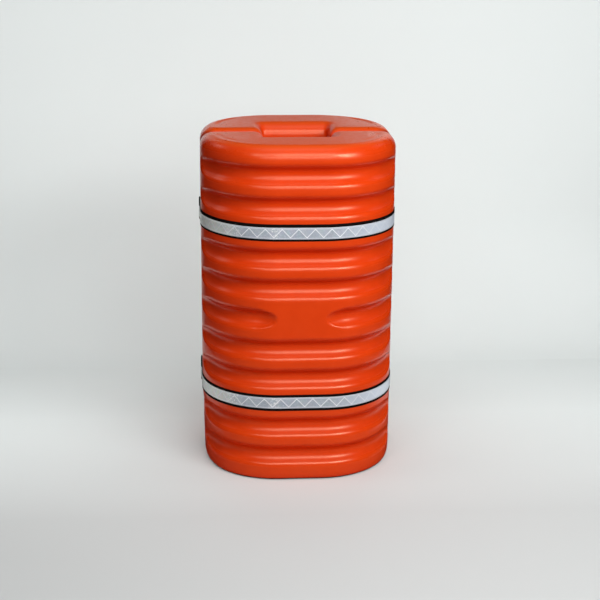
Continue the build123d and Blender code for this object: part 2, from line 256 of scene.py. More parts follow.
def build_shell(name, turned):
    seed = 1.0 if turned else 0.0
    levels = shell_levels()
    loops, cav = [], []
    for z in levels:
        o_o = float(edge_offset(z, TOP_R, BASE_IN, BASE_UP))
        o_s = float(edge_offset(z, SPLIT_R[turned], 5.0, 5.0))
        o_i = float(edge_offset(z, RIM_R, 5.0, 5.0))
        o_x = float(edge_offset(z, RIM_SIDE, 5.0, 5.0))
        ys = -GAP - o_s
        ro, ri = min(PARTING_R, FL - GAP - o_s - 2.0), MOUTH_EDGE_R
        P, N = outer_base(ys - ro)
        s = np.concatenate([[0], np.cumsum(np.hypot(*np.diff(P, axis=0).T))])
        s = s - s[-1] / 2
        mid = groove_depth(z, MIDZ)
        shift = pocket_shift(P)
        k = np.clip(shift, 0, 3.2)
        pocket = np.where(shift <= 0, mid, smooth_max0(mid - shift, k))
        ring = sum(groove_depth(z, zc) for zc in GROOVES) + pocket
        away, slant = tangent_shift(P)
        ring = np.where(away <= 0, ring, smooth_max0(ring - away, np.clip(0.5 * away, 0, 1.6)) / slant)
        bump = 0.55 * unevenness(s, z, seed) * smooth(0, 60, z) * smooth(0, 60, H - z)
        bump = bump * smooth(0, 50, s - s[0]) * smooth(0, 50, s[-1] - s)
        dep = ring + o_o - bump
        B = P - N * dep[:, None]
        d0, d1 = dep[0], dep[-1]
        ph = np.linspace(0, pi / 2, N_FIL + 1)  # rounded upright edges
        A = np.array([(W2 - d0 - ro + ro * sin(a), ys - ro + ro * cos(a)) for a in ph[:-1]])
        C = np.array([(-(W2 - d1 - ro) - ro * cos(a), ys - ro + ro * sin(a)) for a in ph[1:]])
        PI_, NI = inner_base(ys - ri)
        F = PI_ - NI * (o_x * NI[:, :1] ** 2 + o_i * NI[:, 1:] ** 2)
        F = F[::-1]  # left to right
        xi = MOUTH + o_x
        E = np.array([(-(xi + ri) + ri * sin(a), ys - ri + ri * cos(a)) for a in ph[:-1]])
        G = np.array([(xi + ri - ri * cos(a), ys - ri + ri * sin(a)) for a in ph[1:]])
        t = np.linspace(0, 1, K_SPLIT + 2)[1:-1, None]
        D = C[-1] * (1 - t) + E[0] * t
        R = G[-1] * (1 - t) + A[0] * t
        xy = np.concatenate([A, B, C, D, E, F, G, R])
        loops.append(np.c_[xy, np.full(len(xy), z)])
        g = np.zeros(len(xy))
        g[len(A) : len(A) + len(B)] = ring / GD
        g[: len(A)] = g[len(A)]
        g[len(A) + len(B) : len(A) + len(B) + len(C)] = g[len(A) + len(B) - 1]
        cav.append(g)
    na, nb = len(A), len(B)
    n = len(loops[0])
    L = len(levels)
    V = np.concatenate(loops)
    cavity = list(np.concatenate(cav))
    i = np.arange(n)
    j = (i + 1) % n
    quads = []
    for k in range(L - 1):
        quads.append(np.c_[k * n + i, k * n + j, (k + 1) * n + j, (k + 1) * n + i])
    quads = np.concatenate(quads).tolist()

    # deck and base: a grid from the outer path to the inner path
    m = na + nb + N_FIL
    out_idx = np.arange(m)
    inner_idx = np.arange(m + K_SPLIT, m + K_SPLIT + m)[::-1]
    left_idx = np.arange(m, m + K_SPLIT)
    right_idx = np.arange(m + K_SPLIT + m, n)[::-1]
    extra = []
    base_count = len(V)
    for level, flip in ((0, True), (L - 1, False)):
        ring3 = loops[level]
        grid = np.zeros((m, K_SPLIT + 2), int)
        grid[:, 0] = level * n + out_idx
        grid[:, -1] = level * n + inner_idx
        grid[0, 1:-1] = level * n + right_idx
        grid[-1, 1:-1] = level * n + left_idx
        po, pi_ = ring3[out_idx], ring3[inner_idx]
        for jj in range(1, K_SPLIT + 1):
            f = jj / (K_SPLIT + 1)
            pts = po[1:-1] * (1 - f) + pi_[1:-1] * f
            if not flip:
                fade = min(1.0, jj / 2.5, (K_SPLIT + 1 - jj) / 2.5)
                ends = smooth(0, 14, -GAP - SPLIT_R[turned] - pts[:, 1] + 0.5)
                pts[:, 2] -= ((2.4 if turned else 1.1) * deck_step(pts[:, 0], pts[:, 1]) + 0.5 * (unevenness(pts[:, 0], pts[:, 1] + 400, seed + 3) + 0.2)) * fade * ends
            start = base_count + len(extra)
            extra.extend(pts.tolist())
            grid[1:-1, jj] = start + np.arange(m - 2)
            cavity.extend([0.0] * (m - 2))
        a, b, c, d = grid[:-1, :-1], grid[1:, :-1], grid[1:, 1:], grid[:-1, 1:]
        q = np.stack([a, b, c, d], -1).reshape(-1, 4)
        quads.extend((q[:, ::-1] if flip else q).tolist())
    V = np.concatenate([V, np.array(extra)])
    if turned:
        V[:, :2] *= -1
    # the left-hand wall has shrunk in a little below the lower strap
    pull = 3.6 * (1 - smooth(195, 232, V[:, 2])) + 1.9 * (1 - smooth(40, 150, V[:, 2]))
    V[:, 0] += pull * smooth(-235, -300, V[:, 0])
    o = mesh_object(name, V, quads)
    outward(o)
    at = o.data.attributes.new("groove", "FLOAT", "POINT")
    at.data.foreach_set("value", np.array(cavity, np.float32))
    return o


front_shell = build_shell("front_half_moulding", False)
rear_shell = build_shell("rear_half_moulding", True)
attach(front_shell, "front_half")
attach(rear_shell, "rear_half")
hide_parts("front_shell")
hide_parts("rear_shell")

# -------------------------------------------------------------------- straps
WEB_W, WEB_T = 52.4, 1.6
WEB_IN = 0.1
WEB_OUT = WEB_IN + WEB_T
TAPE_W, TAPE_T = 35.8, 0.4
TAPE_DROP = {"upper": 1.7, "lower": 0.0}  # the tape is sewn on a little off the middle
LOOP_OUT = WEB_OUT + 0.8
HOOK_IN = LOOP_OUT + 0.3
TAIL_IN = HOOK_IN + 0.7
TAIL_W = 50.0
TIP_Y = 96.0  # tip of the tail, on the rear half
FRONT_STOP = 40.0  # front runs are rigid up to here on the left, and go on as the tail
HINGE_SPAN = 25.0  # each side of Y = 0 spanned by the right-hand run
TAPE_PERIOD = 50.0
TAPE_START = {"upper": 30.3, "lower": 28.0}  # where the tape's pattern starts on each strap


def band_path(side, y_right, y_left, step=5.0):
    """Crest-level path of a band on one half, right end to left end, with normals and length."""
    pts, nrm = [], []
    y = np.linspace(-y_right, -FL, max(2, int((FL - y_right) / step) + 1)) if y_right < FL else [-y_right]
    for v in y[:-1]:
        pts.append((W2, v)), nrm.append((1, 0))
    for t in np.linspace(pi / 2, 0, int(RC * pi / 2 / step) + 1)[:-1]:
        pts.append((FL + RC * sin(t), -FL - RC * cos(t))), nrm.append((sin(t), -cos(t)))
    for x in np.linspace(FL, -FL, int(2 * FL / step) + 1)[:-1]:
        pts.append((x, -W2)), nrm.append((0, -1))
    end = 0.0 if y_left <= FL else asin(min(1.0, 1.0))
    for t in np.linspace(0, pi / 2, int(RC * pi / 2 / step) + 1)[:-1]:
        yy = -FL - RC * cos(t)
        if yy > -y_left:
            break
        pts.append((-FL - RC * sin(t), yy)), nrm.append((-sin(t), -cos(t)))
    if y_left <= FL:
        for v in np.linspace(-FL, -y_left, max(2, int((FL - y_left) / step) + 1)):
            pts.append((-W2, v)), nrm.append((-1, 0))
    else:
        t = acos((y_left - FL) / RC)
        pts.append((-FL - RC * sin(t), -y_left)), nrm.append((-sin(t), -cos(t)))
    p, q = np.array(pts, float), np.array(nrm, float)
    s = np.concatenate([[0], np.cumsum(np.hypot(*np.diff(p, axis=0).T))])
    if side > 0:  # rear half: the same path turned half a turn has its ends swapped, so mirror it
        p[:, 1] *= -1
        q[:, 1] *= -1
    return p, q, s


def straight_path(x, y0, y1, nx, step=3.0):
    n = max(2, int(abs(y1 - y0) / step) + 1)
    y = np.linspace(y0, y1, n)
    p = np.c_[np.full(n, x), y]
    q = np.tile([nx, 0.0], (n, 1))
    return p, q, np.abs(y - y0)


def section(width, u0, u1, r, n_face=10, n_arc=4, crown=0.0):
    """Closed outline in (u, z): outer face upwards, over the top edge, inner face down."""
    h = width / 2
    t = u1 - u0
    rr = min(r, t / 2 - 1e-3)
    pts = []
    for z in np.linspace(-h + rr, h - rr, n_face + 1):
        pts.append((u1 + crown * (1 - (z / h) ** 2), z))
    for a in np.linspace(0, pi / 2, n_arc + 1)[1:]:
        pts.append((u1 - rr + rr * cos(a), h - rr + rr * sin(a)))
    for a in np.linspace(pi / 2, pi, n_arc + 1):
        pts.append((u0 + rr + rr * cos(a), h - rr + rr * sin(a)))
    for z in np.linspace(h - rr, -h + rr, n_face + 1)[1:]:
        pts.append((u0, z))
    for a in np.linspace(pi, 3 * pi / 2, n_arc + 1)[1:]:
        pts.append((u0 + rr + rr * cos(a), -h + rr + rr * sin(a)))
    for a in np.linspace(3 * pi / 2, 2 * pi, n_arc + 1)[:-1]:
        pts.append((u1 - rr + rr * cos(a), -h + rr + rr * sin(a)))
    return np.array(pts)


def sweep(name, path, zc, sec, s0=0.0, wander=None, shift0=0.0):
    """A band with that section along a path, closed at both ends."""
    p, q, s = path
    n, m = len(p), len(sec)
    V = np.zeros((n, m, 3))
    UV = np.zeros((n, m, 2))
    for k in range(n):
        du, dz = (0.0, 0.0) if wander is None else wander(p[k], s[k] + s0)
        u = sec[:, 0] + du
        V[k, :, 0] = p[k, 0] + q[k, 0] * u
        V[k, :, 1] = p[k, 1] + q[k, 1] * u
        V[k, :, 2] = zc + sec[:, 1] + dz
        UV[k, :, 0] = s[k] + s0 + shift0
        UV[k, :, 1] = sec[:, 1]
    idx = np.arange(n * m).reshape(n, m)
    nxt = np.roll(idx, -1, axis=1)
    faces = np.stack([idx[:-1], idx[1:], nxt[1:], nxt[:-1]], -1).reshape(-1, 4).tolist()
    faces.append(idx[0].tolist())
    faces.append(idx[-1, ::-1].tolist())
    o = mesh_object(name, V.reshape(-1, 3), faces, uv=UV.reshape(-1, 2))
    outward(o)
    return o


def beads(name, places, long, wide, high, uv=False):
    """Thread stitches: small rounded beads at (centre, along, out) places."""
    rings = [(-0.5, 0.0), (-0.42, 0.62), (-0.2, 1.0), (0.2, 1.0), (0.42, 0.62), (0.5, 0.0)]
    ns = 6
    V, F = [], []
    for c, a, o_ in places:
        c, a, o_ = np.asarray(c, float), np.asarray(a, float), np.asarray(o_, float)
        b = np.cross(o_, a)
        base = len(V)
        V.append(c + a * long * rings[0][0])
        for f, r in rings[1:-1]:
            for k in range(ns):
                t = 2 * pi * k / ns
                V.append(c + a * long * f + b * (wide / 2 * r * cos(t)) + o_ * (high * r * sin(t)))
        V.append(c + a * long * rings[-1][0])
        last = len(V) - 1
        for k in range(ns):
            F.append([base, base + 1 + (k + 1) % ns, base + 1 + k])
        nr = len(rings) - 2
        for r in range(nr - 1):
            o1, o2 = base + 1 + r * ns, base + 1 + (r + 1) * ns
            for k in range(ns):
                F.append([o1 + k, o1 + (k + 1) % ns, o2 + (k + 1) % ns, o2 + k])
        o1 = base + 1 + (nr - 1) * ns
        for k in range(ns):
            F.append([o1 + k, o1 + (k + 1) % ns, last])
    o = mesh_object(name, np.array(V), F)
    outward(o)
    return o


def row_places(path, zc, u, pitch, start=3.0, stop=3.0):
    p, q, s = path
    out = []
    for d in np.arange(start, s[-1] - stop, pitch):
        x, y = np.interp(d, s, p[:, 0]), np.interp(d, s, p[:, 1])
        nx, ny = np.interp(d, s, q[:, 0]), np.interp(d, s, q[:, 1])
        l = sqrt(nx * nx + ny * ny)
        nx, ny = nx / l, ny / l
        out.append(((x + nx * u, y + ny * u, zc), (-ny, nx, 0.0), (nx, ny, 0.0)))
    return out


def left_path(y0, y1, step=2.4):
    """Crest-level path along the left side, from front to rear, round the start of the rear corner."""
    y = np.linspace(y0, y1, max(2, int((y1 - y0) / step) + 1))
    over = np.maximum(y - FL, 0)
    c = np.sqrt(RC**2 - over**2)
    p = np.c_[-FL - c, y]
    q = np.c_[-c / RC, over / RC]
    d = np.concatenate([[0], np.cumsum(np.hypot(*np.diff(p, axis=0).T))])
    return p, q, d


pieces = {"web": [], "tape": [], "thread": [], "loop": [], "hook": []}


def add(kind, o, body=None, blend=None, nodes=()):
    pieces[kind].append(o)
    if blend:
        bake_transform(o)
    else:
        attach(o, body)
    if nodes:
        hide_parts(*nodes)
    return o


SLOT = {"web": "webbing", "tape": "reflective_tape", "thread": "thread", "loop": "loop_pile", "hook": "hook_strip"}
web_sec = section(WEB_W, WEB_IN, WEB_OUT, 0.78)
tape_sec = section(TAPE_W, WEB_OUT - 0.05, WEB_OUT + TAPE_T, 0.2, n_face=8, n_arc=2, crown=0.1)
STITCH_U = WEB_OUT + TAPE_T - 0.02


def climb(y):
    """How far the tail has risen onto the rear run at Y."""
    return (TAIL_IN - WEB_IN) * smooth(-24.0, 9.0, y)


def seam(points, pitch, drift):
    """Stitches along a polyline of (place, out) pairs, with drift in height."""
    p = np.array([a for a, _ in points], float)
    o = np.array([b for _, b in points], float)
    d = np.concatenate([[0], np.cumsum(np.linalg.norm(np.diff(p, axis=0), axis=1))])
    out = []
    n = max(1, int(d[-1] / pitch))
    for k in range(n):
        t = d[-1] * (k + 0.5) / n
        c = np.array([np.interp(t, d, p[:, i]) for i in range(3)])
        i = min(np.searchsorted(d, t, side="right") - 1, len(p) - 2)
        a = p[i + 1] - p[i]
        a = a / np.linalg.norm(a)
        n_ = o[i] - a * np.dot(o[i], a)
        n_ = n_ / np.linalg.norm(n_)
        c[2] += drift
        out.append((c, a, n_))
    return out


for level, zs in STRAPS.items():
    ph = 0.0 if level == "upper" else 2.1
    shift0 = TAPE_START[level]
    zt = zs - TAPE_DROP[level]

    def wander(pt, s, ph=ph):
        """Webbing never lies dead straight: it drifts a little up and down."""
        return 0.0, 0.45 * sin(s / 97.0 + ph) + 0.25 * sin(s / 41.0 + 2 * ph)

    hb = ("front_half", "rear_half", (0.3070, -0.016, zs * MM), (0.3070, 0.016, zs * MM))
    ends = {}
    for side, half, body in ((-1, "front", "front_half"), (1, "rear", "rear_half")):
        path = band_path(side, HINGE_SPAN, FRONT_STOP if side < 0 else 12.0)
        add("web", sweep(f"{level}_{half}_webbing", path, zs, web_sec, wander=wander), body, nodes=(f"{level}_{half}_strap",))
        tpath = path if side < 0 else band_path(side, HINGE_SPAN, 100.0)
        add("tape", sweep(f"{level}_{half}_reflective", tpath, zt, tape_sec, wander=wander, shift0=shift0), body, nodes=(f"{level}_{half}_tape",))
        ends[half] = path[2][-1]
        moved = []
        for e in (-1, 1):
            for c, a, o_ in row_places(tpath, zt + e * (TAPE_W / 2 - 1.9), STITCH_U, 4.3):
                k = np.argmin(np.hypot(tpath[0][:, 0] - c[0], tpath[0][:, 1] - c[1]))
                moved.append(((c[0], c[1], c[2] + wander(None, tpath[2][k])[1]), a, o_))
        add("thread", beads(f"{level}_{half}_tape_stitches", moved, 3.1, 0.62, 0.24), body)

    # right-hand run across the parting line
    hz = wander(None, 0.0)[1]

    def level_wander(pt, s, hz=hz):
        return 0.0, hz

    hp = straight_path(W2, HINGE_SPAN, -HINGE_SPAN, 1.0, step=1.5)
    add("web", sweep(f"{level}_hinge_webbing", hp, zs, web_sec, s0=-2 * HINGE_SPAN, wander=level_wander), blend=hb)
    add("tape", sweep(f"{level}_hinge_reflective", hp, zt, tape_sec, s0=-2 * HINGE_SPAN, wander=level_wander, shift0=shift0), blend=hb)
    places = []
    for e in (-1, 1):
        places += row_places(hp, zt + hz + e * (TAPE_W / 2 - 1.9), STITCH_U, 4.3, 2.0, 2.0)
    add("thread", beads(f"{level}_hinge_stitches", places, 3.1, 0.62, 0.24), blend=hb)

    # closure on the left-hand side: loop pile sewn on the rear run's end
    loop = left_path(14.0, TIP_Y, step=2.2)
    rz = wander(None, ends["rear"])[1]

    def rear_wander(pt, s, rz=rz):
        return 0.0, rz

    o = sweep(f"{level}_loop_pile", loop, zs, section(47.0, WEB_OUT - 0.05, LOOP_OUT, 0.38, n_face=20, n_arc=3), wander=rear_wander)
    add("loop", o, "rear_half", nodes=(f"{level}_loop_patch",))

    def ring_points(path, u, z):
        return [((a[0] + n[0] * u, a[1] + n[1] * u, z), (n[0], n[1], 0.0)) for a, n in zip(path[0], path[1])]

    border = left_path(16.0, TIP_Y - 2.0, step=6.0)
    places = []
    for e in (-1, 1):
        places += seam(ring_points(border, LOOP_OUT + 0.02, zs + e * 21.8), 3.2, rz)
    for k in (0, -1):
        a, n = border[0][k], border[1][k]
        q = (a[0] + n[0] * (LOOP_OUT + 0.02), a[1] + n[1] * (LOOP_OUT + 0.02))
        places += seam([((q[0], q[1], zs - 21.8), (n[0], n[1], 0)), ((q[0], q[1], zs + 21.8), (n[0], n[1], 0))], 3.2, rz)
    add("thread", beads(f"{level}_loop_stitches", places, 2.5, 0.7, 0.26), "rear_half", nodes=(f"{level}_loop_stitching",))

    # tail: the front run goes on past the parting line and climbs onto the rear run
    tb = ("front_half", f"{level}_tail", (-0.30655, -0.026, zs * MM), (-0.30655, 0.002, zs * MM))
    fz = wander(None, ends["front"])[1]

    def tail_wander(pt, s, fz=fz):
        return float(climb(pt[1])), fz

    tp = left_path(-FRONT_STOP, TIP_Y)
    o = sweep(f"{level}_tail_webbing", tp, zs, web_sec, s0=ends["front"], wander=tail_wander)
    co = np.array([v.co for v in o.data.vertices]) / MM
    back = TIP_Y - co[:, 1]
    r = 9.0
    lim = np.where(back < r, WEB_W / 2 - r + np.sqrt(np.maximum(r**2 - (r - np.clip(back, 0, r)) ** 2, 0)), 1e3)
    dz = co[:, 2] - zs - fz
    co[:, 2] = zs + fz + np.sign(dz) * np.minimum(np.abs(dz), lim)
    o.data.vertices.foreach_set("co", (co * MM).astype(np.float32).ravel())
    o.data.update()
    add("web", o, blend=tb, nodes=(f"{level}_tail",))
    ttp = left_path(-FRONT_STOP, 84.0)
    add("tape", sweep(f"{level}_tail_reflective", ttp, zt, tape_sec, s0=ends["front"], wander=tail_wander, shift0=shift0), blend=tb, nodes=(f"{level}_tail_tape",))
    places = []
    for e in (-1, 1):
        for c, a, o_ in row_places(ttp, zt + fz + e * (TAPE_W / 2 - 1.9), STITCH_U, 4.3):
            u = float(climb(c[1]))
            places.append(((c[0] + o_[0] * u, c[1] + o_[1] * u, c[2]), a, o_))
    add("thread", beads(f"{level}_tail_tape_stitches", places, 3.1, 0.62, 0.24), blend=tb)

    # hook strip under the tail: a thin base with rows of small moulded hooks
    hk = left_path(20.0, 84.0, step=3.0)
    o = sweep(f"{level}_hook_base", hk, zs, section(40.0, HOOK_IN + 0.3, TAIL_IN + 0.03, 0.2, n_face=8, n_arc=2))
    add("hook", o, f"{level}_tail", nodes=(f"{level}_hook_patch",))
    places = []
    for a, y in enumerate(np.arange(21.5, 83.0, 2.1)):
        over = max(y - FL, 0.0)
        c = sqrt(RC**2 - over**2)
        n = np.array([-c / RC, over / RC])
        b = np.array([-FL - c, y]) + n * (HOOK_IN + 0.2)
        for z in np.arange(-18.9, 19.0, 2.1):
            zz = z + (1.05 if a % 2 else 0.0)
            if abs(zz) < 19.4:
                places.append(((b[0], b[1], zs + zz), (-n[0], -n[1], 0.0), (0.0, 0.0, 1.0)))
    add("hook", beads(f"{level}_hooks", places, 0.36, 0.8, 0.32), f"{level}_tail")

    # stitching of the hook strip, in the bare borders beside the tape and across the tip
    rows = left_path(10.0, 88.0, step=6.0)
    top = TAIL_IN + WEB_T + 0.02
    places = []
    for e in (-1, 1):
        places += seam(ring_points(rows, top, zs + e * 22.2), 3.4, fz)
    a, n = rows[0][-1], rows[1][-1]
    q = (a[0] + n[0] * top, a[1] + n[1] * top)
    for dy in (0.0, 3.2):
        places += seam([((q[0], q[1] + dy, zs - 21.0), (n[0], n[1], 0)), ((q[0], q[1] + dy, zs + 21.0), (n[0], n[1], 0))], 3.4, fz)
    add("thread", beads(f"{level}_tail_stitches", places, 2.7, 0.75, 0.3), f"{level}_tail", nodes=(f"{level}_hook_stitching",))


# ----------------------------------------------------------------- materials
def new_material(name):
    m = bpy.data.materials.new(name)
    m.use_nodes = True
    t = m.node_tree
    t.nodes.clear()
    out = t.nodes.new("ShaderNodeOutputMaterial")
    b = t.nodes.new("ShaderNodeBsdfPrincipled")
    t.links.new(b.outputs[0], out.inputs[0])
    return m, t, b


class Graph:
    def __init__(self, tree):
        self.t = tree

    def node(self, kind, **props):
        n = self.t.nodes.new(kind)
        for k, v in props.items():
            setattr(n, k, v)
        return n

    def put(self, socket, value):
        if isinstance(value, bpy.types.NodeSocket):
            self.t.links.new(value, socket)
        else:
            socket.default_value = value

    def math(self, op, a, b=None, c=None, clamp=False):
        n = self.node("ShaderNodeMath", operation=op, use_clamp=clamp)
        for s, v in zip(n.inputs, (a, b, c)):
            if v is not None:
                self.put(s, v)
        return n.outputs[0]

    def mix(self, f, a, b, blend="MIX"):
        n = self.node("ShaderNodeMix", data_type="RGBA", blend_type=blend)
        self.put(n.inputs[0], f)
        self.put(n.inputs[6], a)
        self.put(n.inputs[7], b)
        return n.outputs[2]

    def noise(self, vec, scale, detail=2.0, rough=0.5, dist=0.0, out=0):
        n = self.node("ShaderNodeTexNoise")
        self.put(n.inputs["Vector"], vec)
        n.inputs["Scale"].default_value = scale
        n.inputs["Detail"].default_value = detail
        n.inputs["Roughness"].default_value = rough
        n.inputs["Distortion"].default_value = dist
        return n.outputs[out]

    def voronoi(self, vec, scale, feature="F1", out=0, rand=1.0):
        n = self.node("ShaderNodeTexVoronoi", feature=feature)
        self.put(n.inputs["Vector"], vec)
        n.inputs["Scale"].default_value = scale
        if "Randomness" in n.inputs:
            n.inputs["Randomness"].default_value = rand
        return n.outputs[out]

    def ramp(self, f, lo, hi, a=0.0, b=1.0):
        n = self.node("ShaderNodeMapRange")
        self.put(n.inputs[0], f)
        for k, v in zip((1, 2, 3, 4), (lo, hi, a, b)):
            n.inputs[k].default_value = v
        return n.outputs[0]

    def bump(self, h, strength, dist, normal=None):
        n = self.node("ShaderNodeBump")
        n.inputs["Strength"].default_value = strength
        n.inputs["Distance"].default_value = dist
        self.put(n.inputs["Height"], h)
        if normal is not None:
            self.put(n.inputs["Normal"], normal)
        return n.outputs[0]

    def object_coords(self):
        return self.node("ShaderNodeTexCoord").outputs["Object"]

    def scaled(self, vec, xyz):
        n = self.node("ShaderNodeMapping")
        self.put(n.inputs["Vector"], vec)
        n.inputs["Scale"].default_value = xyz
        return n.outputs[0]

    def uv(self):
        n = self.node("ShaderNodeUVMap", uv_map="strap")
        x = self.node("ShaderNodeSeparateXYZ")
        self.t.links.new(n.outputs[0], x.inputs[0])
        return n.outputs[0], x.outputs[0], x.outputs[1]


def shell_material():
    m, t, b = new_material("moulded_polyethylene")
    g = Graph(t)
    co = g.object_coords()
    att = g.node("ShaderNodeAttribute", attribute_name="groove")
    base = (0.74, 0.046, 0.0022, 1)
    light = (0.77, 0.052, 0.0028, 1)
    dark = (0.68, 0.038, 0.0016, 1)
    c = g.mix(g.ramp(g.noise(co, 5.5, 3), 0.3, 0.7), base, light)
    c = g.mix(g.ramp(g.noise(co, 38, 2), 0.45, 0.8, 0.0, 0.35), c, dark)
    # pigment specks and rubbed patches
    speck = g.ramp(g.noise(co, 1400, 1), 0.62, 0.8, 0.0, 0.12)
    c = g.mix(speck, c, dark)
    rub = g.ramp(g.noise(g.scaled(co, (9, 9, 60)), 1.0, 4, 0.6), 0.64, 0.84, 0.0, 0.08)
    c = g.mix(rub, c, (0.80, 0.080, 0.012, 1))
    # painted shade: the colour deepens towards the floor of each groove
    c = g.mix(g.math("MULTIPLY", att.outputs["Fac"], 0.25, clamp=True), c, (0.68, 0.036, 0.0014, 1))
    # painted shade: faces that point downwards, the undersides of the ribs, are mixed to a deeper red
    face = g.node("ShaderNodeSeparateXYZ")
    g.put(face.inputs[0], g.node("ShaderNodeNewGeometry").outputs["Normal"])
    c = g.mix(g.ramp(face.outputs[2], -0.12, -0.75, 0.0, 0.85), c, (0.66, 0.018, 0.0005, 1))
    # painted shade: faces that point to the left-hand side are mixed to a deeper red
    own = g.node("ShaderNodeSeparateXYZ")
    g.put(own.inputs[0], g.node("ShaderNodeTexCoord").outputs["Normal"])
    c = g.mix(g.ramp(own.outputs[0], -0.40, -0.90, 0.0, 0.5), c, (0.66, 0.020, 0.0007, 1))
    # upward-facing faces at the deck are mixed to a lighter, yellower orange
    xyz = g.node("ShaderNodeSeparateXYZ")
    g.put(xyz.inputs[0], co)
    deck_tint = g.math("MULTIPLY", g.ramp(face.outputs[2], 0.72, 0.97), g.ramp(xyz.outputs[2], 1.030, 1.050))
    c = g.mix(g.math("MULTIPLY", deck_tint, 0.75), c, (0.78, 0.088, 0.0050, 1))
    # painted shade: the outer parting edges, and the notch where the parting line meets the deck, are painted
    # near-black as the shade in the gap between the halves
    gap = g.math("MULTIPLY", g.ramp(g.math("ABSOLUTE", xyz.outputs[1]), 0.017, 0.006), g.ramp(g.math("ABSOLUTE", xyz.outputs[0]), 0.268, 0.286))
    notch = g.math("MULTIPLY", g.ramp(g.math("ABSOLUTE", xyz.outputs[1]), 0.028, 0.007), g.ramp(g.math("ABSOLUTE", xyz.outputs[0]), 0.255, 0.288))
    notch = g.math("MULTIPLY", notch, g.ramp(xyz.outputs[2], 0.985, 1.025))
    c = g.mix(g.math("MULTIPLY", g.math("MAXIMUM", gap, notch), 0.88), c, (0.10, 0.008, 0.0015, 1))
    # painted shadow: the bottom few millimetres of the wall are painted near-black as the contact shadow under the
    # base, with a noisy upper edge
    foot = g.math("ADD", xyz.outputs[2], g.ramp(g.noise(co, 45, 3), 0.2, 0.8, -0.0007, 0.0007))
    c = g.mix(g.ramp(foot, 0.0062, 0.0037, 0.0, 0.92), c, (0.055, 0.012, 0.006, 1))
    g.put(b.inputs["Base Color"], c)
    # the middle of the deck is scuffed dull, and the lips of the ribs are rubbed bright
    deck = g.ramp(xyz.outputs[2], 1.040, 1.062)
    r = g.ramp(g.noise(co, 22, 3), 0.3, 0.7, 0.29, 0.33)
    lip = g.math("MULTIPLY", g.ramp(att.outputs["Fac"], 0.40, 0.28), g.ramp(face.outputs[2], 0.12, 0.3))
    r = g.math("SUBTRACT", r, g.math("MULTIPLY", lip, 0.06))
    scuff = g.ramp(g.math("ABSOLUTE", xyz.outputs[0]), 0.09, 0.23, 0.14, 0.03)
    scuff = g.math("ADD", scuff, g.ramp(g.noise(co, 60, 4, 0.65), 0.35, 0.75, -0.02, 0.10))
    r = g.math("ADD", r, g.math("MULTIPLY", deck, scuff))
    r = g.math("ADD", r, g.math("MULTIPLY", rub, 0.4))
    # the roofs of the grooves are never wiped, and the notch, painted dark as shade, is made dull
    roof = g.math("MULTIPLY", g.ramp(att.outputs["Fac"], 0.40, 0.70), g.ramp(face.outputs[2], 0.02, -0.22))
    g.put(b.inputs["Roughness"], g.math("ADD", r, g.math("MULTIPLY", notch, 0.2)))
    b.inputs["IOR"].default_value = 1.5
    g.put(b.inputs["Specular IOR Level"], g.ramp(g.math("MAXIMUM", roof, notch), 0.0, 1.0, 0.62, 0.22))
    b.inputs["Specular Tint"].default_value = (1.0, 0.72, 0.50, 1)
    peel = g.noise(co, 420, 2, 0.5)
    grain = g.noise(co, 2600, 1)
    n = g.bump(peel, 0.05, 0.0005)
    n = g.bump(grain, 0.04, 0.0002, n)
    g.put(b.inputs["Normal"], n)
    return m


def webbing_material():
    m, t, b = new_material("black_webbing")
    g = Graph(t)
    uv, u, v = g.uv()
    # ribs across the strap, each a row of short floats that alternate
    pu, pv = 0.0021, 0.0017
    cu, cv = g.math("DIVIDE", u, pu), g.math("DIVIDE", v, pv)
    row = g.math("FLOOR", cv)
    odd = g.math("MULTIPLY", g.math("MODULO", g.math("ABSOLUTE", row), 2.0), 0.5)
    fu = g.math("FRACT", g.math("ADD", cu, odd))
    fv = g.math("FRACT", cv)
    hu = g.math("SINE", g.math("MULTIPLY", fu, pi))
    hv = g.math("SINE", g.math("MULTIPLY", fv, pi))
    h = g.math("MULTIPLY", g.math("POWER", hu, 0.6), g.math("POWER", hv, 0.6))
    fuzz = g.noise(g.scaled(uv, (900, 2600, 1)), 1.0, 2)
    co = g.object_coords()
    var = g.ramp(g.noise(co, 30, 3), 0.3, 0.7)
    c = g.mix(h, (0.0025, 0.0019, 0.0017, 1), (0.010, 0.0075, 0.0068, 1))
    c = g.mix(g.math("MULTIPLY", var, 0.4), c, (0.008, 0.006, 0.0055, 1))
    c = g.mix(g.ramp(fuzz, 0.6, 0.9, 0.0, 0.2), c, (0.026, 0.021, 0.019, 1))
    g.put(b.inputs["Base Color"], c)
    g.put(b.inputs["Roughness"], g.ramp(h, 0.0, 1.0, 0.85, 0.58))
    b.inputs["IOR"].default_value = 1.12  # matt yarn: next to no shine, not even edge-on
    b.inputs["Specular IOR Level"].default_value = 0.2
    n = g.bump(h, 0.6, 0.0005)
    n = g.bump(fuzz, 0.25, 0.0002, n)
    g.put(b.inputs["Normal"], n)
    return m


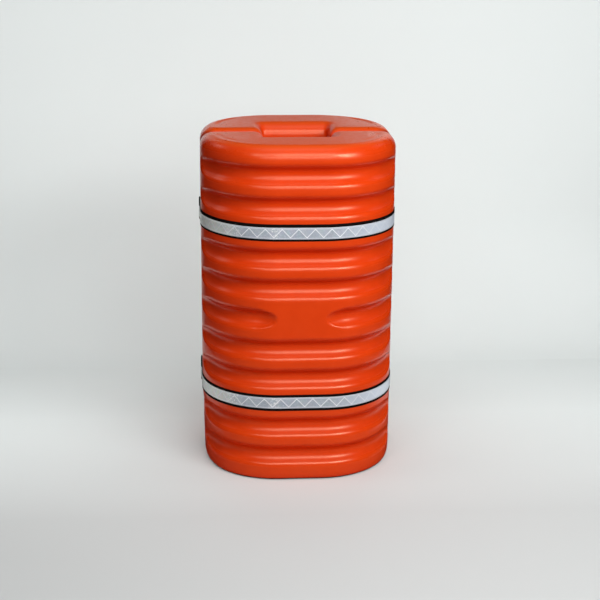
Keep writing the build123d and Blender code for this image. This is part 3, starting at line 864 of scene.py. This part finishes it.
def tape_material():
    m, t, b = new_material("prismatic_tape")
    g = Graph(t)
    uv, u, v = g.uv()
    # sealed borders and a zigzag of sealed lines divide the sheet into triangles
    period, half = 0.0500, 0.01905
    w = g.math("FRACT", g.math("DIVIDE", g.math("ADD", u, 10.0), period))
    tri = g.math("SUBTRACT", 1.0, g.math("ABSOLUTE", g.math("SUBTRACT", g.math("MULTIPLY", w, 2.0), 1.0)))
    vv = g.math("DIVIDE", g.math("ADD", v, 0.0130), 0.0260)
    d = g.math("ABSOLUTE", g.math("SUBTRACT", vv, tri))
    d = g.math("MULTIPLY", d, 0.0260 * 0.693)  # distance to the slanted line, metres
    line = g.ramp(d, 0.00085, 0.00130, 1.0, 0.0)
    edge = g.ramp(g.math("ABSOLUTE", v), 0.0126, 0.0131, 0.0, 1.0)
    up = g.math("GREATER_THAN", tri, vv)
    # micro-prisms: tiny triangular cells whose faces tip a little each way
    cell = g.voronoi(g.scaled(uv, (1, 1, 1)), 620, out=1)
    sep = g.node("ShaderNodeSeparateColor")
    g.t.links.new(cell, sep.inputs[0])
    co = g.object_coords()
    at = g.node("ShaderNodeSeparateXYZ")
    g.put(at.inputs[0], co)
    # painted light: where the band turns to the sides it is painted paler, as if catching the side lights: pale on the
    # right, grey-green on the left, with painted iridescent hues on the left
    right = g.ramp(at.outputs[0], 0.11, 0.27)
    left = g.ramp(at.outputs[0], -0.180, -0.265)
    slow = g.noise(co, 26, 2)
    hue = g.noise(co, 70, 1, out=1)
    a = g.mix(up, (0.425, 0.48, 0.555, 1), (0.37, 0.425, 0.495, 1))
    a = g.mix(g.ramp(slow, 0.35, 0.7, 0.0, 0.5), a, (0.51, 0.555, 0.62, 1))
    a = g.mix(g.math("MULTIPLY_ADD", left, 0.14, 0.08), a, hue)
    a = g.mix(g.math("MULTIPLY", right, 0.9), a, (0.76, 0.83, 0.94, 1))
    a = g.mix(g.math("MULTIPLY", left, 0.85), a, (0.97, 1.0, 0.93, 1))
    a = g.mix(g.math("MULTIPLY", left, 0.28), a, g.noise(co, 120, 1, out=1))
    # painted glints: prism cells picked at random are painted paler
    a = g.mix(g.ramp(sep.outputs[0], 0.72, 1.0, 0.0, 0.5), a, (0.85, 0.88, 0.95, 1))
    # painted glints: a few groups of prisms are painted white, near x = -0.212 m and x = -0.085 m
    near = g.ramp(g.math("ABSOLUTE", g.math("ADD", at.outputs[0], 0.212)), 0.030, 0.008)
    mid = g.ramp(g.math("ABSOLUTE", g.math("ADD", at.outputs[0], 0.085)), 0.024, 0.004, 0.0, 0.75)
    painted_glints = g.math("MULTIPLY", g.math("MAXIMUM", near, mid), g.ramp(g.noise(co, 240, 2), 0.54, 0.62))
    # the sealed borders; painted highlight: towards the left end they are painted near white
    c = g.mix(g.math("MULTIPLY", edge, 0.8), a, g.mix(left, (0.63, 0.66, 0.73, 1), (0.95, 0.97, 0.95, 1)))
    # painted light: the seal lines are painted fainter towards both ends
    fade = g.math("SUBTRACT", 0.95, g.math("MAXIMUM", g.math("MULTIPLY", right, 0.70), g.math("MULTIPLY", left, 0.25)))
    c = g.mix(g.math("MULTIPLY", line, fade), c, (0.93, 0.94, 0.97, 1))
    c = g.mix(g.math("MULTIPLY", painted_glints, 0.9), c, (0.96, 0.97, 0.95, 1))
    seal = g.math("MAXIMUM", g.math("MAXIMUM", line, edge), painted_glints)
    g.put(b.inputs["Base Color"], c)
    g.put(b.inputs["Metallic"], g.ramp(seal, 0.0, 1.0, 0.16, 0.02))
    g.put(b.inputs["Roughness"], g.ramp(sep.outputs[1], 0.0, 1.0, 0.30, 0.52))
    b.inputs["Coat Weight"].default_value = 0.35
    b.inputs["Coat Roughness"].default_value = 0.16
    n = g.bump(sep.outputs[2], 0.28, 0.0003)
    n = g.bump(seal, 0.3, 0.0004, n)
    g.put(b.inputs["Normal"], n)
    return m


def thread_material():
    m, t, b = new_material("bonded_thread")
    g = Graph(t)
    co = g.object_coords()
    h = g.noise(co, 1800, 2)
    g.put(b.inputs["Base Color"], g.mix(g.ramp(h, 0.3, 0.7), (0.10, 0.10, 0.105, 1), (0.20, 0.20, 0.21, 1)))
    g.put(b.inputs["Roughness"], g.ramp(h, 0.3, 0.7, 0.45, 0.7))
    g.put(b.inputs["Normal"], g.bump(h, 0.4, 0.0002))
    return m


def loop_material():
    m, t, b = new_material("loop_pile")
    g = Graph(t)
    co = g.object_coords()
    h = g.voronoi(co, 1100, feature="SMOOTH_F1")
    f = g.noise(co, 2400, 3)
    c = g.mix(g.ramp(h, 0.1, 0.7), (0.022, 0.022, 0.024, 1), (0.006, 0.006, 0.007, 1))
    c = g.mix(g.ramp(f, 0.55, 0.8, 0.0, 0.35), c, (0.06, 0.06, 0.065, 1))
    g.put(b.inputs["Base Color"], c)
    g.put(b.inputs["Roughness"], g.ramp(f, 0.3, 0.7, 0.8, 0.98))
    b.inputs["Sheen Weight"].default_value = 0.06
    n = g.bump(h, 0.8, 0.0006)
    g.put(b.inputs["Normal"], g.bump(f, 0.5, 0.0003, n))
    return m


def hook_material():
    m, t, b = new_material("hook_strip")
    g = Graph(t)
    co = g.object_coords()
    f = g.noise(co, 900, 2)
    g.put(b.inputs["Base Color"], g.mix(g.ramp(f, 0.3, 0.7), (0.010, 0.010, 0.011, 1), (0.022, 0.022, 0.024, 1)))
    g.put(b.inputs["Roughness"], g.ramp(f, 0.3, 0.7, 0.34, 0.5))
    b.inputs["Specular IOR Level"].default_value = 0.25
    g.put(b.inputs["Normal"], g.bump(f, 0.2, 0.0002))
    return m


MATS = {
    "web": webbing_material(),
    "tape": tape_material(),
    "thread": thread_material(),
    "loop": loop_material(),
    "hook": hook_material(),
}
shell_mat = shell_material()
for o in (front_shell, rear_shell):
    o.data.materials.append(shell_mat)
for kind, objs in pieces.items():
    for o in objs:
        o.data.materials.append(MATS[kind])

# --------------------------------------------------- floor, backdrop, lights
def plain(name, rgb, rough, front_tone):
    m, t, b = new_material(name)
    g = Graph(t)
    co = g.object_coords()
    k = g.noise(co, 1.3, 3)
    lo = tuple(c * 0.985 for c in rgb) + (1,)
    c = g.mix(g.ramp(k, 0.3, 0.7), lo, tuple(rgb) + (1,))
    # the floor is darker and greyer towards the front
    at = g.node("ShaderNodeSeparateXYZ")
    g.put(at.inputs[0], co)
    c = g.mix(g.ramp(at.outputs[1], 0.25, -0.55, 0.0, 1.0), c, tuple(front_tone) + (1,))
    g.put(b.inputs["Base Color"], c)
    b.inputs["Roughness"].default_value = rough
    b.inputs["Specular IOR Level"].default_value = 0.2
    return m


paper_set = bpy.data.collections.new("paper_set")


def backdrop():
    """Paper that runs along the floor and sweeps up into a low wall behind the object.

    It hangs in strips. The middle of the wall and the floor beside the object
    show in glossy reflections, the rest doesn't, like a set with dark flags."""
    R, yb, top, tall = 500.0, 1300.0, 1470.0, 2300.0
    prof = [(-1120.0, 0.0), (yb - R, 0.0)]
    for a in np.linspace(0, pi / 2, 13)[1:]:
        prof.append((yb - R + R * sin(a), R - R * cos(a)))
    prof.append((yb, top))
    paper = plain("studio_paper", (0.81, 0.855, 0.845), 0.75, (0.60, 0.62, 0.615))
    front, near = [(-1120.0, 0.0), (-260.0, 0.0)], [(-260.0, 0.0), (yb - R, 0.0)]
    strips = (
        ("floor", -600.0, 600.0, prof[:2], False),
        ("wall", -560.0, 560.0, prof[1:], True),
        ("front_left", -1250.0, -600.0, front, False),
        ("left", -1100.0, -600.0, near, True),
        ("far_left", -1250.0, -1100.0, near, False),
        ("wall_left", -900.0, -560.0, prof[1:-1] + [(yb, tall)], True),
        ("wall_far_left", -1250.0, -900.0, prof[1:], False),
        ("front_right", 600.0, 1500.0, front, False),
        ("right", 600.0, 1100.0, near, True),
        ("far_right", 1100.0, 1500.0, near, False),
        ("wall_right", 560.0, 900.0, prof[1:-1] + [(yb, tall)], True),
        ("wall_far_right", 900.0, 1500.0, prof[1:], False),
    )
    for name, x0, x1, line, glossy in strips:
        V, F = [], []
        for y, z in line:
            V += [(x0, y, z), (x1, y, z)]
        for k in range(len(line) - 1):
            F.append([2 * k, 2 * k + 1, 2 * k + 3, 2 * k + 2])
        o = mesh_object(f"studio_floor_{name}", np.array(V), F)
        o.data.materials.append(paper)
        o.visible_glossy = glossy
        paper_set.objects.link(o)


backdrop()


def area(name, loc, target, size, power, color=(1, 1, 1)):
    d = bpy.data.lights.new(name, "AREA")
    d.shape = "RECTANGLE"
    d.size, d.size_y = size
    d.energy = power
    d.color = color
    o = bpy.data.objects.new(name, d)
    bpy.context.scene.collection.objects.link(o)
    o.location = loc
    v = Vector(target) - Vector(loc)
    o.rotation_euler = v.to_track_quat("-Z", "Y").to_euler()
    o.visible_camera = False
    if name.startswith("glint"):  # these only show in the gloss
        o.visible_diffuse = False
    if name.startswith("paper"):  # these light the paper only, as if flagged off the object
        o.visible_glossy = False
        o.light_linking.receiver_collection = paper_set
    return o


LIGHTS = [
    ("right_low_box", (1.45, -2.0, 1.62), (0, 0, 0.6), (0.6, 0.5), 1.5),
    ("side_low_box", (1.85, -1.65, 1.62), (0, 0, 0.6), (0.5, 0.5), 3.0),
    ("front_low_box", (0.30, -2.4, 1.60), (0, 0, 0.6), (0.9, 0.5), 7.5),
    ("right_mid_box", (1.25, -2.2, 2.20), (0, 0, 0.6), (0.8, 0.6), 25.0),
    ("side_mid_box", (1.75, -1.75, 2.20), (0, 0, 0.6), (0.6, 0.6), 10.5),
    ("front_mid_box", (0.30, -2.6, 2.20), (0, 0, 0.6), (1.0, 0.6), 4.0),
    ("front_high_box", (0.20, -3.0, 3.30), (0, 0, 0.6), (1.8, 1.0), 31.0),
    ("left_high_box", (-1.50, -2.7, 2.90), (0, 0, 0.6), (1.2, 1.0), 15.5),
    ("top_box", (0.0, -0.5, 3.30), (0, 0, 0.6), (1.6, 1.0), 8.0),
    ("glint_side_box", (-1.75, 0.80, 2.32), (0, 0, 0.7), (0.8, 0.5), 1.8),
    ("glint_far_box", (1.75, 0.80, 2.32), (0, 0, 0.7), (0.8, 0.5), 0.7),
    ("glint_left_box", (-0.62, -2.4, 1.66), (0, 0, 0.6), (0.8, 0.4), 6.0),
    ("glint_right_box", (1.45, -2.00, 1.66), (0, 0, 0.6), (0.4, 0.4), 7.5),
    ("paper_right_box", (1.6, -0.4, 1.6), (0.9, 1.2, 0.5), (1.0, 1.0), 7.0),
    ("paper_low_left_box", (-1.2, -0.2, 0.9), (-0.75, 1.25, 0.15), (0.8, 0.6), 2.2),
    ("paper_low_right_box", (1.3, -0.2, 0.9), (0.9, 1.25, 0.15), (0.8, 0.6), 1.2),
    ("paper_left_box", (-1.5, -0.4, 1.6), (-0.7, 0.9, 0.2), (1.0, 1.0), 7.0),
]
for row in LIGHTS:
    area(*row)

world = bpy.data.worlds.new("studio")
world.use_nodes = True
world.node_tree.nodes["Background"].inputs[0].default_value = (1.0, 1.0, 1.0, 1)
world.node_tree.nodes["Background"].inputs[1].default_value = 0.16
bpy.context.scene.world = world
world.cycles_visibility.glossy = False

# -------------------------------------------------------------------- camera
YAW, TAU, ROLL, FOCAL = 0.073403, 0.295735, 0.008632, 1399.5626
cd = bpy.data.cameras.new("camera")
cd.sensor_width = 36.0
cd.lens = FOCAL * 36.0 / 600.0
cd.clip_end = 60
cam = bpy.data.objects.new("camera", cd)
bpy.context.scene.collection.objects.link(cam)
spot = Matrix.Rotation(-YAW, 4, "Z") @ Vector((0.0171158, -4.372967, 1.834298))
cam.matrix_world = (
    Matrix.Translation(spot)
    @ Matrix.Rotation(-YAW, 4, "Z")
    @ Matrix.Rotation(pi / 2 - TAU, 4, "X")
    @ Matrix.Rotation(ROLL, 4, "Z")
    @ Matrix.Rotation(0.55 / FOCAL, 4, "Y")
    @ Matrix.Rotation(0.45 / FOCAL, 4, "X")
)
bpy.context.scene.camera = cam
bpy.context.scene.view_settings.view_transform = "Standard"
